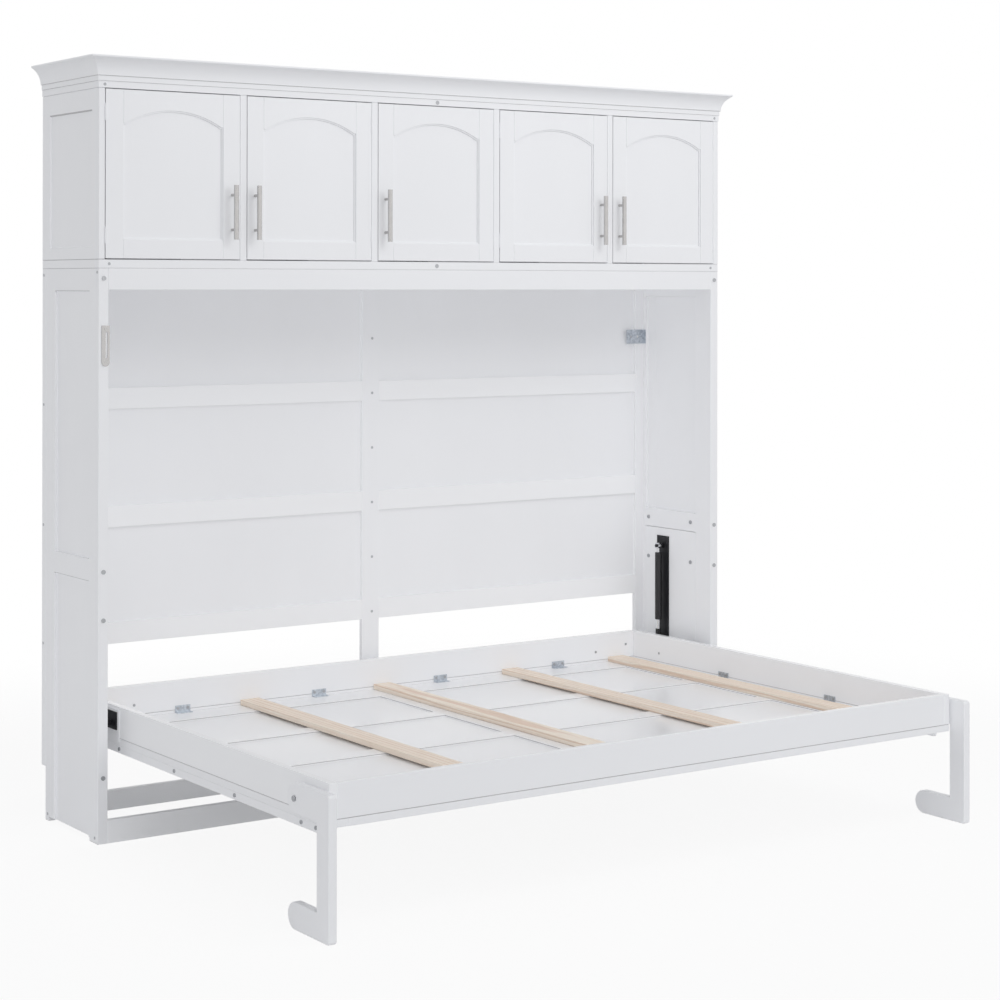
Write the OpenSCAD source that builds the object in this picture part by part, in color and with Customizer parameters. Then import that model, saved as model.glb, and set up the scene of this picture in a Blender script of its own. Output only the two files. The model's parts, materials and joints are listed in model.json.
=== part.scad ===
// Side-tilting wall bed with a fold-down desk under its base, and a row of cupboards above.
// Origin: floor level, front face of the cabinet, middle of its width.
// X runs left to right, Y runs back into the cabinet, Z is up. Millimetres. Drawn with the bed lowered.

/* [Cabinet] */
// Overall width of the cabinet
cab_w = 2140; // [2100:5:2300]
// Height of the lower cabinet, floor to the joint under the cupboards
joint_z = 1532; // [1520:1:1600]
// Depth of the side frames
side_depth = 348; // [330:1:420]
// Depth of the rear corner blocks behind the side frames
rear_t = 27; // [18:1:40]
// Thickness of each side frame
side_t = 29; // [24:1:40]
// Width of a front stile, seen from outside
stile_front_w = 60; // [40:1:80]
// Width of a front stile, seen from inside
stile_inner_w = 76; // [50:1:90]
// Width of a rear stile, seen from outside
stile_rear_w = 60; // [40:1:80]
// Width of a rear stile, seen from inside
stile_rear_inner_w = 15; // [10:1:60]
// Depth of the outer side recess
side_recess = 8; // [4:1:10]
// Depth of the inner side recess
side_recess_in = 9; // [4:1:10]
// Height of the side frame's top rail, seen from outside
side_top_rail_h = 62; // [40:1:90]
// Height of the side frame's top rail, seen from inside
side_top_inner_h = 82; // [40:1:110]
// Height of the lower edge of the side's middle rail
side_mid_z = 693; // [500:1:900]
// Height of the side's middle rail
side_mid_h = 60; // [40:1:90]
// Height of the gap under the side panel
side_foot_gap = 10; // [4:1:30]
// Front foot, back to where the gap starts
foot_front = 54; // [40:1:80]
// Rear foot, front edge measured from the front face
foot_rear = 323; // [300:1:330]
// Mounting board thickness
board_t = 9; // [6:1:9]
// Mounting board, lower edge
board_bottom = 40; // [20:1:100]
// Mounting board, upper edge
board_top = 692; // [600:1:692]
// Header rail height
header_h = 58; // [40:1:80]
// Header rail thickness
header_t = 22; // [16:1:30]
// Toe rail height at the front
toe_h = 62; // [50:1:62]
// Toe rail thickness
toe_t = 18; // [12:1:18]
// Rear toe rail, front face
toe_rear_y = 320; // [250:1:326]
// Rear toe rail, lower edge
toe_rear_z = 6; // [0:1:20]

/* [Cabinet back] */
// Lower end of the rear posts
rear_bottom = 148; // [60:1:200]
// Thickness of the rear posts and rails
post_t = 15; // [12:1:27]
// Width of a rear corner post
post_w = 62; // [40:1:100]
// Width of the middle rear post
mid_post_w = 60; // [40:1:100]
// Distance of the middle post from the middle of the cabinet, to the left
mid_post_shift = 15; // [0:1:60]
// Height of each rear cross rail
back_rail_h = 60; // [40:1:80]
// Lower edge of the bottom cross rail
back_rail_1 = 470; // [380:1:560]
// Lower edge of the second cross rail
back_rail_2 = 800; // [700:1:900]
// Lower edge of the third cross rail
back_rail_3 = 1135; // [1030:1:1230]
// Thickness of the rear panels
back_panel_t = 5; // [3:1:12]
// Step from the rails back to the panels
back_panel_inset = 9; // [2:1:12]
// First screw of the middle post
post_screw_z = 492; // [470:1:520]
// Distance between the middle post's screws
post_screw_pitch = 166.6; // [100:0.1:200]
// Number of screws in the middle post
post_screws = 6; // [2:1:6]

/* [Cupboards] */
// Cupboard bottom board thickness
hutch_bottom_t = 23; // [16:1:30]
// Height of a cupboard inside
bay_h = 458; // [300:1:520]
// Cupboard top board thickness
hutch_top_t = 18; // [12:1:30]
// How far the top board stands out at the front and sides
top_lip = 2; // [0:1:20]
// Cupboard side board thickness
hutch_side_t = 18; // [16:1:29]
// Divider thickness
divider_t = 20; // [16:1:30]
// Cupboard back panel thickness
hutch_back_t = 9; // [4:1:18]
// Cupboard side recess, front edge
hutch_recess_front = 46; // [30:1:80]
// Cupboard side recess, width of the plain band at the rear
hutch_recess_rear = 50; // [30:1:80]
// Cupboard side recess, width of the plain band below
hutch_recess_low = 56; // [30:1:80]
// Cupboard side recess, width of the plain band above
hutch_recess_high = 58; // [30:1:80]
// Cupboard side recess depth
hutch_recess_d = 5; // [2:1:8]
// Crown moulding height
crown_h = 66; // [40:1:90]
// Crown moulding projection
crown_out = 35; // [30:1:60]
// Band under the crown's hollow, height
bead_h = 14; // [6:1:20]
// Band under the crown's hollow, projection
bead_out = 4; // [3:0.5:14]
// Foot of the crown's hollow, projection beyond the band
cove_foot = 3; // [1:0.5:6]
// Crown moulding body behind the cupboard face
crown_in = 18; // [10:1:30]
// Radius of the crown's hollow curve
cove_r = 54; // [52:1:58]

/* [Cupboard doors] */
// Door thickness
door_t = 20; // [16:1:24]
// Gap at each side of a door
door_gap = 1.8; // [1.2:0.1:4]
// Gap under each door
door_gap_low = 3.2; // [1:0.1:5]
// Gap above each door
door_gap_top = 2.2; // [1:0.1:5]
// Door stile width, with the stepped edge
door_stile = 55; // [45:1:80]
// Door bottom rail height, with the stepped edge
door_bottom_rail = 55; // [45:1:90]
// Door top rail height at the middle of the arch, with the stepped edge
door_top_rail = 55; // [45:1:90]
// Rise of the arch
arch_rise = 39; // [15:1:60]
// Flat shoulder at each end of the arch
arch_shoulder = 4; // [0:1:30]
// Door panel thickness
door_panel_t = 7; // [4:1:10]
// Door panel set back from the front
door_panel_inset = 7; // [3:1:10]
// Width of the stepped edge round the panel
door_mould_w = 4; // [3:1:14]
// Depth of the stepped edge round the panel
door_mould_d = 3.5; // [1:0.5:5]
// Width and depth of the joint lines between stiles and rails
joint_line = 1; // [0.5:0.1:2]
// Handle bar diameter
handle_d = 13.5; // [8:0.5:16]
// Handle bar length
handle_len = 150; // [100:1:200]
// Distance between the handle's posts
handle_cc = 96; // [64:32:160]
// Handle post diameter
handle_post_d = 8; // [5:1:10]
// Handle bar centre in front of the door
handle_stand = 26; // [20:1:40]
// Handle centre from the door's free edge
handle_edge = 24; // [20:1:40]
// Lower end of the handle above the door's lower edge
handle_up = 54; // [30:1:200]
// Hinge length
hinge_len = 45; // [30:1:70]
// Width of a hinge leaf inside the gap
hinge_leaf_w = 14; // [8:1:18]
// Gap between a hinge's two leaves
hinge_leaf_gap = 0.4; // [0.3:0.1:0.6]
// Hinge centre from the door's upper and lower edges
hinge_end = 62; // [40:1:120]
// Hinge barrel diameter
hinge_d = 5; // [4:0.1:9]
// Hinge pin diameter
hinge_pin_d = 2.4; // [1.5:0.1:4]

/* [Bed] */
// Outer width of the bed rails' gap to the cabinet's outer side
bed_side_gap = 77; // [76:1:90]
// Front face of the bed rails in front of the cabinet
bed_front = 1088; // [1040:1:1088]
// Rear face of the bed rails, inside the cabinet
bed_rear = 328; // [300:1:340]
// Underside of the bed base
base_z = 250; // [240:1:260]
// Bed base thickness
base_t = 18; // [16:1:24]
// How far the base stands out past the front rail
front_lip = 2; // [0:0.5:4]
// Ends of the front lip from the cabinet's outer sides
lip_end = 125; // [80:1:200]
// Depth of the base's rebate between the rails, where the slats lie
base_rebate = 7; // [2:1:9]
// Depth of the recesses in the base, below the rebate
base_recess = 5; // [2:1:7]
// Rail height above the base
rail_h = 85; // [60:1:110]
// Front and rear rail thickness
rail_t = 16; // [14:1:24]
// Side rail thickness
rail_side_t = 20; // [14:1:24]
// Base side member width
base_side_w = 132; // [80:1:160]
// Base middle member width
base_mid_w = 130; // [80:1:160]
// Base rear member width
base_rear_w = 122; // [80:1:160]
// Base front member width
base_front_w = 120; // [80:1:160]
// Base cross member width
base_cross_w = 57; // [40:1:100]
// Middle of the first base cross member, in front of the cabinet
base_cross_1 = 118; // [90:1:200]
// Distance between the base's cross members
base_cross_pitch = 347; // [300:1:352]
// Slat width
slat_w = 62; // [40:1:90]
// Slat thickness
slat_t = 16; // [12:1:24]
// Middle of the first slat, from the left rail
slat_left = 52; // [32:1:200]
// Middle of the third slat, right of the cabinet's middle
slat_mid = 5; // [-60:1:60]
// Second slat, left of the third
slat_pitch_left = 454; // [380:1:500]
// Fourth slat, right of the third
slat_pitch_right = 473; // [380:1:500]
// Middle of the fifth slat, from the right rail
slat_right = 75; // [32:1:200]
// Runner height under the base
runner_h = 21; // [12:1:24]
// Runner width
runner_w = 14; // [10:1:40]
// Front end of the runners, behind the front rail's face
runner_set_back = 48; // [0:1:100]
// Rear end of the runners, inside the cabinet
runner_rear = 290; // [120:1:300]
// First runner bolt, inside the cabinet
runner_bolt_y = 31; // [10:1:60]
// Runner bolt head diameter
runner_bolt_d = 10; // [6:1:14]
// Distance between the runner bolts
runner_bolt_pitch = 330; // [200:1:340]
// Last runner bolt, behind the runner's front end
runner_bolt_end = 12; // [8:1:40]
// Inner pair of brackets on the rear rail, from the middle
rear_bracket_in = 216; // [100:1:300]
// Outer pair of brackets on the rear rail, from the middle
rear_bracket_out = 666; // [450:1:720]
// First bracket on a side rail, in front of the cabinet
side_bracket_1 = 145; // [60:1:300]
// Second bracket on a side rail, in front of the first
side_bracket_pitch = 482; // [200:1:600]
// Screws in the rails, above the base
rail_screw_up = 28; // [15:1:60]
// Rear screw in a side rail, inside the cabinet
side_screw_y = 177; // [60:1:250]
// Inner screw in the rear rail, from the side rail
rear_screw_in = 155; // [80:1:250]
// Outer screw in the rear rail, from the side rail
rear_screw_out = 32; // [15:1:70]

/* [Pivots] */
// Bed pivot, distance behind the front face
pivot_y = 74; // [70:1:80]
// Bed pivot height
pivot_z = 305; // [300:1:305]
// Bed pivot pin diameter
pivot_d = 16; // [10:1:20]
// Bed pivot plate thickness
pivot_plate_t = 4; // [3:1:5]
// Bed pivot plate, front edge behind the front face
pivot_plate_y = 40; // [20:1:60]
// Bed pivot plate length
pivot_plate_len = 80; // [60:1:100]
// Bed pivot plate height
pivot_plate_h = 48; // [30:1:60]
// Thickness of the white pad behind the bed pivot plate
pivot_pad_t = 2.7; // [2:0.1:3]
// Pad round the bed pivot plate, front edge behind the front face
pivot_pad_y = 30; // [10:1:40]
// Pad length
pivot_pad_len = 110; // [90:1:130]
// Pad lower edge above the base's underside
pivot_pad_up = 9; // [4:1:20]
// Pad upper edge below the rail's top
pivot_pad_down = 8; // [2:1:30]
// Running clearance on radius
run_fit = 0.05; // [0.02:0.01:0.1]
// Clearance of pieces that only rest beside each other
rest_gap = 0.3; // [0.2:0.1:1]

/* [Legs] */
// Leg outer face from the cabinet's outer side
leg_gap = 46.6; // [40:0.1:48]
// Leg thickness
leg_t = 22.6; // [16:0.1:23]
// Leg pivot in front of the cabinet
leg_pivot_y = 979; // [940:1:990]
// Leg pivot height
leg_pivot_z = 303; // [280:1:310]
// Radius of the leg's pivot end
leg_arm_r = 35; // [24:1:36]
// Front face of the leg in front of the cabinet
leg_front = 1137; // [1110:1:1160]
// Width of the upright part of the leg
leg_post_w = 56; // [40:1:70]
// Height of the foot
leg_foot_h = 64; // [40:1:80]
// Rear end of the foot in front of the cabinet
leg_foot_rear = 948; // [900:1:980]
// Leg pivot bolt diameter
leg_bolt_d = 10; // [8:1:12]
// Leg bolt head diameter
leg_head_d = 14; // [12:1:26]
// Leg bolt head thickness
leg_head_t = 3.5; // [2:0.5:6]
// Diameter of the spacer between leg and rail
leg_spacer_d = 30; // [20:1:40]

/* [Lift struts] */
// Upper strut pivot behind the front face
strut_y = 240; // [200:1:260]
// Upper strut pivot height
strut_z = 636; // [560:1:660]
// Distance between the strut's pivots with the bed lowered
strut_len = 352; // [300:1:360]
// Lower stud above the strut's lower end
stud_up = 12; // [8:1:20]
// Middle of the strut from the cabinet's outer side
strut_x = 50; // [44:1:52]
// Strut cylinder diameter
strut_d = 22; // [15:1:24]
// Strut rod diameter
rod_d = 10; // [6:1:12]
// Strut cylinder length
cylinder_len = 330; // [300:1:335]
// Length of rod in the cylinder with the bed lowered
rod_in = 205; // [190:1:210]
// Length of the socket at the cylinder's lower end
socket_len = 81; // [60:1:90]
// Socket diameter
socket_d = 18; // [14:1:22]
// Length of the bright neck between socket and cylinder
neck_len = 30; // [10:1:35]
// Neck diameter
neck_d = 13; // [8:1:18]
// Lift plate width
lift_plate_w = 60; // [40:1:90]
// Lift plate top
lift_plate_top = 667; // [640:1:700]
// Lift plate length
lift_plate_len = 560; // [200:1:600]
// Lift plate thickness
lift_plate_t = 3; // [2:1:6]

/* [Desk] */
// Desk top width
desk_w = 1200; // [800:10:1600]
// Desk top depth
desk_d = 440; // [300:5:560]
// Desk top thickness
desk_t = 15; // [12:1:16]
// Height of the desk hinge with the bed raised
desk_z = 740; // [700:1:760]
// Desk hinge barrel diameter
desk_hinge_d = 7; // [5:1:8]
// Desk hinge pin diameter
desk_pin_d = 3.5; // [2:0.1:5]
// Bracket reach
gate_len = 350; // [250:5:420]
// Bracket height at the hinge
gate_h = 190; // [120:5:260]
// Bracket height at its tip
gate_tip = 50; // [30:5:100]
// Bracket thickness
gate_t = 12; // [8:1:14]
// Bracket hinge line from the end of the desk top
gate_in = 80; // [20:5:160]

/* [Fittings] */
// Front bolts from the cabinet's outer side
bolt_inset = 15; // [10:1:25]
// Top front bolt below the joint under the cupboards
bolt_top = 27; // [15:1:60]
// Bolt above the foot of a side
bolt_foot_z = 175; // [80:1:300]
// Lower bolts of the mounting board, below its upper edge
board_bolt_down = 98; // [60:1:200]
// Front bolts of the mounting board, from the board's front edge
board_bolt_front = 24; // [12:1:80]
// Rear bolts of the mounting board, from the board's rear edge
board_bolt_rear = 16; // [10:1:80]
// Bolt head diameter
bolt_d = 12; // [8:1:16]
// Bolt head height
bolt_h = 2.5; // [1:0.5:5]
// Screw head diameter
screw_d = 8; // [5:1:10]
// Diameter of the caps on the cupboards' front
cap_d = 12; // [8:1:16]
// Screw head height
screw_h = 1; // [0.5:0.1:2]
// Hexagon or cross recess depth in a head
recess_d = 0.7; // [0.3:0.1:1]
// Latch plate from the cabinet's outer side
latch_in = 8; // [2:1:20]
// Latch plate width
latch_w = 23; // [15:1:26]
// Latch plate length
latch_len = 109; // [60:1:140]
// Latch plate top, below the joint under the cupboards
latch_drop = 153; // [80:1:400]
// Latch plate thickness
latch_t = 2.5; // [1.5:0.1:4]
// Latch slot width
latch_slot_w = 6; // [3:1:10]
// Latch slot length
latch_slot_len = 68; // [30:1:80]
// Galvanised bracket width
galv_w = 48; // [30:1:70]
// Galvanised bracket leg length
galv_leg = 20; // [12:1:30]
// Galvanised bracket metal thickness
galv_t = 2; // [1:0.5:3]
// Wall bracket width
wall_bracket_w = 70; // [40:1:100]
// Wall bracket height
wall_bracket_h = 46; // [30:1:70]
// Wall bracket top, below the joint under the cupboards
wall_bracket_drop = 191; // [100:1:400]
// Wall bracket's inner hole from its outer end
wall_hole_in = 52.5; // [40:0.5:60]
// Wall bracket's outer hole from its outer end
wall_hole_out = 24.5; // [14:0.5:34]
// Wall bracket hole diameter
wall_hole_d = 8; // [5:1:12]

/* [Hidden] */
$fn = 64;
half = cab_w / 2;
inner = half - side_t;
rear_y = side_depth + rear_t;
post_y = side_depth + post_t;
header_z = joint_z - header_h;
panel_t = side_t - side_recess - side_recess_in;
mid_x0 = -mid_post_shift - mid_post_w / 2;
mid_x1 = -mid_post_shift + mid_post_w / 2;
bay_z = joint_z + hutch_bottom_t;
top_z = bay_z + bay_h;
crown_z = top_z + hutch_top_t;
door_count = 5;
bay_w = (cab_w - 2 * hutch_side_t - (door_count - 1) * divider_t) / door_count;
bay_pitch = bay_w + divider_t;
door_w = bay_w - 2 * door_gap;
door_z = bay_z + door_gap_low;
door_h = bay_h - door_gap_low - door_gap_top;
leaf_t = (door_gap - hinge_leaf_gap) / 2;
knuckle = hinge_len / 3;
rail_x = half - bed_side_gap;
base_top = base_z + base_t;
bed_floor = base_top - base_rebate;
rail_top = base_top + rail_h;
bed_in_x = rail_x - rail_side_t;
runner_z = base_z - runner_h;
axis_sum = pivot_y + pivot_z;
leg_x = half - leg_gap;
strut_mid = half - strut_x;
desk_hinge_y = axis_sum - desk_z;
desk_hinge_z = base_z - rest_gap - desk_hinge_d / 2 - 1;
desk_start = desk_hinge_d / 2 + 1;
desk_top_z = base_z - rest_gap;
gate_start = desk_hinge_y + desk_t - (base_z - rest_gap - desk_hinge_z) + 1.5;
gate_mid = gate_start + gate_h / 2;
gate_x = desk_w / 2 - gate_in;
gate_z = base_z - rest_gap - gate_t / 2 - 0.5;
slats_x = [-bed_in_x + slat_left, slat_mid - slat_pitch_left, slat_mid, slat_mid + slat_pitch_right,
    bed_in_x - slat_right];
rear_brackets_x = [-rear_bracket_out, -rear_bracket_in];
side_brackets_y = [-side_bracket_1, -side_bracket_1 - side_bracket_pitch];
runner_front = -bed_front + runner_set_back;
bolt_mid_z = side_mid_z + side_mid_h / 2;
board_bolt_z = board_top - board_bolt_down;
back_rails_z = [back_rail_1, back_rail_2, back_rail_3];
hinge_y = -hinge_d / 2 - rest_gap;
door_spring = door_h - door_top_rail - arch_rise;
// true where a door hangs on its right edge
hinged_right = [false, true, true, false, true];

// ---- helpers ----
// box from corner a to corner b
module box(a, b) {
    translate(a) cube([b[0] - a[0], b[1] - a[1], b[2] - a[2]]);
}

// child and its mirror image on the other side
module both() {
    children();
    mirror([1, 0, 0]) children();
}

// cylinder along X from x0 to x1
module rod_x(x0, x1, y, z, d) {
    translate([x0, y, z]) rotate([0, 90, 0]) cylinder(h = x1 - x0, d = d);
}

// outline in the Y-Z plane made solid from x0 to x1
module slab_x(x0, x1) {
    translate([x0, 0, 0]) rotate([90, 0, 90]) linear_extrude(height = x1 - x0) children();
}

// screw or bolt head on the XY plane, standing up along Z, with a socket
module head(d, h) {
    socket = d * 0.45;
    difference() {
        cylinder(h = h, d = d);
        translate([0, 0, h - recess_d]) cylinder(h = recess_d + 1, d = socket, $fn = 6);
    }
}

// head on a face looking toward -Y
module head_front(x, y, z, d, h) {
    translate([x, y, z]) rotate([90, 0, 0]) head(d, h);
}

// head on a face looking toward -X
module head_left(x, y, z, d, h) {
    translate([x, y, z]) rotate([0, -90, 0]) head(d, h);
}

// head on a face looking toward +X
module head_right(x, y, z, d, h) {
    translate([x, y, z]) rotate([0, 90, 0]) head(d, h);
}

// ---- cabinet sides ----
module side_frame() {
    outer_rear = side_depth - stile_rear_w;
    inner_rear = side_depth - stile_rear_inner_w;
    mid_top = side_mid_z + side_mid_h;
    rail_z = joint_z - side_top_rail_h;
    split = side_recess + panel_t;
    difference() {
        box([-half, 0, 0], [-inner, side_depth, joint_z]);
        box([-half - 1, stile_front_w, mid_top], [-half + split, outer_rear, rail_z]);
        box([-half - 1, stile_front_w, -1], [-half + split, outer_rear, side_mid_z]);
        box([-half + split, stile_inner_w, mid_top], [-inner + 1, inner_rear, joint_z - side_top_inner_h]);
        box([-half + split, stile_inner_w, -1], [-inner + 1, inner_rear, side_mid_z]);
        box([-half - 1, foot_front, -1], [-inner + 1, foot_rear, side_foot_gap]);
    }
}

module side_frame_left() {
    color("white") side_frame();
}

module side_frame_right() {
    color("white") mirror([1, 0, 0]) side_frame();
}

module side_panels() {
    outer_rear = side_depth - stile_rear_w;
    mid_top = side_mid_z + side_mid_h;
    rail_z = joint_z - side_top_rail_h;
    x0 = -half + side_recess;
    color("white") both() {
        box([x0, stile_front_w, mid_top], [x0 + panel_t, outer_rear, rail_z]);
        box([x0, stile_front_w, side_foot_gap], [x0 + panel_t, outer_rear, side_mid_z]);
    }
}

module mount_boards() {
    x0 = -inner - side_recess_in;
    board_rear = side_depth - stile_rear_inner_w;
    color("white") both()
        box([x0, stile_inner_w, board_bottom], [x0 + board_t, board_rear, board_top]);
}

module header_rail() {
    color("white") box([-inner, 0, header_z], [inner, header_t, joint_z]);
}

module toe_rails() {
    color("white") {
        box([-inner, 0, 0], [inner, toe_t, toe_h]);
        box([-inner, toe_rear_y, toe_rear_z], [inner, toe_rear_y + toe_t, toe_h]);
    }
}

// ---- cabinet back ----
module back_posts() {
    color("white") {
        both() union() {
            box([-half, side_depth, rear_bottom], [-inner, rear_y, joint_z]);
            box([-half, side_depth, rear_bottom], [-half + post_w, post_y, joint_z]);
        }
        box([mid_x0, side_depth, rear_bottom], [mid_x1, post_y, joint_z]);
    }
}

module back_rails() {
    color("white") {
        for (z = back_rails_z) {
            box([-half + post_w, side_depth, z], [mid_x0, post_y, z + back_rail_h]);
            box([mid_x1, side_depth, z], [half - post_w, post_y, z + back_rail_h]);
        }
        box([-half + post_w, side_depth, header_z], [mid_x0, post_y, joint_z]);
        box([mid_x1, side_depth, header_z], [half - post_w, post_y, joint_z]);
    }
}

module back_panels() {
    y0 = side_depth + back_panel_inset;
    color("white") for (i = [0 : 2]) {
        z0 = back_rails_z[i] + back_rail_h;
        z1 = i < 2 ? back_rails_z[i + 1] : header_z;
        box([-half + post_w, y0, z0], [mid_x0, y0 + back_panel_t, z1]);
        box([mid_x1, y0, z0], [half - post_w, y0 + back_panel_t, z1]);
    }
}

// ---- cabinet fittings ----
module cabinet_bolts() {
    front_z = [joint_z - bolt_top, bolt_mid_z, board_bolt_z, bolt_foot_z];
    board_y = [stile_inner_w + board_bolt_front, side_depth - stile_rear_inner_w - board_bolt_rear];
    color("silver") both() {
        for (z = front_z)
            head_front(-half + bolt_inset, 0, z, bolt_d, bolt_h);
        for (y = board_y, z = [bolt_mid_z, board_bolt_z])
            head_right(-inner, y, z, bolt_d, bolt_h);
    }
}

module cabinet_screws() {
    // screws seen on an outer side: distance behind the front face, height
    side_screws = [[9, joint_z - 11], [18, 15], [side_depth - 17, 19]];
    rear_screw_y = side_depth + 16;
    rear_screws_z = [for (z = back_rails_z) z + 18];
    hutch_screw_z = joint_z + hutch_bottom_t / 2;
    hutch_screw_in = 30;
    top_screw_z = top_z + hutch_top_t / 2;
    top_screw_in = 16;
    post_screw_in = 35;
    color("gainsboro") {
        both() {
            for (p = side_screws)
                head_left(-half, p[0], p[1], screw_d, screw_h);
            for (z = concat(rear_screws_z, joint_z - 18))
                head_left(-half, rear_screw_y, z, screw_d, screw_h);
            head_front(-half + hutch_screw_in, 0, hutch_screw_z, screw_d, screw_h);
            head_front(-half + top_screw_in, -top_lip, top_screw_z, screw_d, screw_h);
        }
        for (i = [0 : post_screws - 1])
            head_front(mid_x0 + post_screw_in, side_depth, post_screw_z + i * post_screw_pitch, screw_d, screw_h);
        head_front(0, 0, hutch_screw_z, cap_d, screw_h);
        head_front(0, -top_lip, top_screw_z, cap_d, screw_h);
    }
}

// bent plate at each rear corner, one leg on the rear post and one on the side, drilled for wall screws
module wall_brackets() {
    w = wall_bracket_w;
    z1 = joint_z - wall_bracket_drop;
    z0 = z1 - wall_bracket_h;
    y1 = side_depth;
    hole_z = z0 + wall_bracket_h / 2;
    color("silver") both() difference() {
        union() {
            box([-inner, y1 - galv_t, z0], [-inner + w, y1, z1]);
            box([-inner, y1 - stile_rear_inner_w, z0], [-inner + galv_t, y1, z1]);
        }
        for (x = [wall_hole_out, wall_hole_in])
            translate([-inner + x, y1 + 1, hole_z]) rotate([90, 0, 0]) cylinder(h = galv_t + 2, d = wall_hole_d);
    }
}

module latch_plate() {
    x0 = -half + latch_in;
    latch_z = joint_z - latch_drop - latch_len;
    mid = x0 + latch_w / 2;
    low = latch_z + latch_w / 2;
    slot_low = latch_z + 23;
    slot_x = mid + 3;
    latch_screw_down = 9;
    color("silver") {
        difference() {
            union() {
                box([x0, -latch_t, low], [x0 + latch_w, 0, latch_z + latch_len]);
                translate([mid, 0, low]) rotate([90, 0, 0]) cylinder(h = latch_t, d = latch_w);
            }
            box([slot_x - latch_slot_w / 2, -latch_t - 1, slot_low],
                [slot_x + latch_slot_w / 2, 1, slot_low + latch_slot_len]);
        }
        head_front(mid, -latch_t, latch_z + latch_len - latch_screw_down, screw_d, screw_h);
    }
}

// bed pivot pins, and the plates that carry the struts' upper studs
module lift_plates() {
    stud_x = -strut_mid;
    ball_d = 15;
    flange_d = 60;
    flange_t = 6;
    stud_past = 11;
    ball_past = 10;
    color("black") both() {
        rod_x(-inner, -inner + flange_t, pivot_y, pivot_z, flange_d);
        rod_x(-inner, -rail_x - rest_gap, pivot_y, pivot_z, pivot_d);
        box([-inner, strut_y - lift_plate_w / 2, lift_plate_top - lift_plate_len],
            [-inner + lift_plate_t, strut_y + lift_plate_w / 2, lift_plate_top]);
        rod_x(-inner, stud_x + stud_past, strut_y, strut_z, rod_d);
        rod_x(-inner, stud_x - ball_past, strut_y, strut_z, ball_d);
    }
}

// ---- cupboards ----
module hutch_side() {
    z0 = joint_z + hutch_recess_low;
    z1 = top_z - hutch_recess_high;
    difference() {
        box([-half, 0, bay_z], [-half + hutch_side_t, rear_y, top_z]);
        box([-half - 1, hutch_recess_front, z0],
            [-half + hutch_recess_d, rear_y - hutch_recess_rear, z1]);
    }
}

module hutch_side_left() {
    color("white") hutch_side();
}

module hutch_side_right() {
    color("white") mirror([1, 0, 0]) hutch_side();
}

module hutch_bottom() {
    color("white") box([-half, 0, joint_z], [half, rear_y, bay_z]);
}

module hutch_top() {
    color("white") box([-half - top_lip, -top_lip, top_z], [half + top_lip, rear_y, crown_z]);
}

module hutch_back() {
    x1 = half - hutch_side_t;
    color("white") box([-x1, rear_y - hutch_back_t, bay_z], [x1, rear_y, top_z]);
}

// left edge of bay i, counted from 0
function bay_x(i) = -half + hutch_side_t + i * bay_pitch;

module hutch_dividers() {
    color("white") for (i = [1 : door_count - 1])
        box([bay_x(i) - divider_t, 0, bay_z], [bay_x(i), rear_y - hutch_back_t, top_z]);
}

module crown_profile() {
    reach = cove_r + bead_out + cove_foot;
    square_top = crown_h - bead_h;
    translate([-crown_in, 0]) square([crown_in + bead_out, bead_h]);
    difference() {
        translate([-crown_in, bead_h]) square([crown_in + crown_out, square_top]);
        translate([reach, bead_h]) circle(r = cove_r, $fn = 96);
    }
}

module crown() {
    far = 100;
    color("white") union() {
        intersection() {
            translate([half + far, 0, crown_z]) rotate([90, 0, -90])
                linear_extrude(height = cab_w + 2 * far) crown_profile();
            translate([0, 0, crown_z]) linear_extrude(height = crown_h)
                polygon([[-half - far, -far], [half + far, -far], [half - crown_in, crown_in],
                    [-half + crown_in, crown_in]]);
        }
        both() intersection() {
            translate([-half, -far, crown_z]) rotate([90, 0, 180])
                linear_extrude(height = rear_y + far) crown_profile();
            translate([0, 0, crown_z]) linear_extrude(height = crown_h)
                polygon([[-half - far, -far], [-half + crown_in, crown_in], [-half + crown_in, rear_y],
                    [-half - far, rear_y]]);
        }
    }
}

// ---- doors ----
// outline of the door panel's opening, larger by grow all round, door corner at the origin
module door_opening(grow) {
    w = door_w - 2 * door_stile;
    chord = w - 2 * arch_shoulder;
    arch_r = (chord * chord / 4 + arch_rise * arch_rise) / (2 * arch_rise);
    translate([door_stile - grow, door_bottom_rail - grow])
        square([w + 2 * grow, door_spring - door_bottom_rail + 2 * grow]);
    intersection() {
        translate([door_w / 2, door_spring + arch_rise - arch_r]) circle(r = arch_r + grow, $fn = 128);
        translate([door_stile - grow, door_spring + grow - 1]) square([w + 2 * grow, arch_rise + 2]);
    }
}

// joint lines between the stiles and the two cross pieces of a door
module door_joint_lines() {
    x0 = door_stile - door_mould_w;
    for (x = [x0, door_w - x0 - joint_line]) {
        box([x, -1, -1], [x + joint_line, joint_line, door_bottom_rail]);
        box([x, -1, door_spring], [x + joint_line, joint_line, door_h + 1]);
    }
}

module door(i) {
    translate([bay_x(i) + door_gap, 0, door_z]) {
        difference() {
            cube([door_w, door_t, door_h]);
            translate([0, door_t + 1, 0]) rotate([90, 0, 0])
                linear_extrude(height = door_t + 2) door_opening(0);
            translate([0, door_mould_d, 0]) rotate([90, 0, 0])
                linear_extrude(height = door_mould_d + 1) door_opening(door_mould_w);
            door_joint_lines();
        }
        translate([0, door_panel_inset + door_panel_t, 0]) rotate([90, 0, 0])
            linear_extrude(height = door_panel_t) door_opening(0);
    }
}

module door_1() {
    color("white") door(0);
}

module door_2() {
    color("white") door(1);
}

module door_3() {
    color("white") door(2);
}

module door_4() {
    color("white") door(3);
}

module door_5() {
    color("white") door(4);
}

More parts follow.
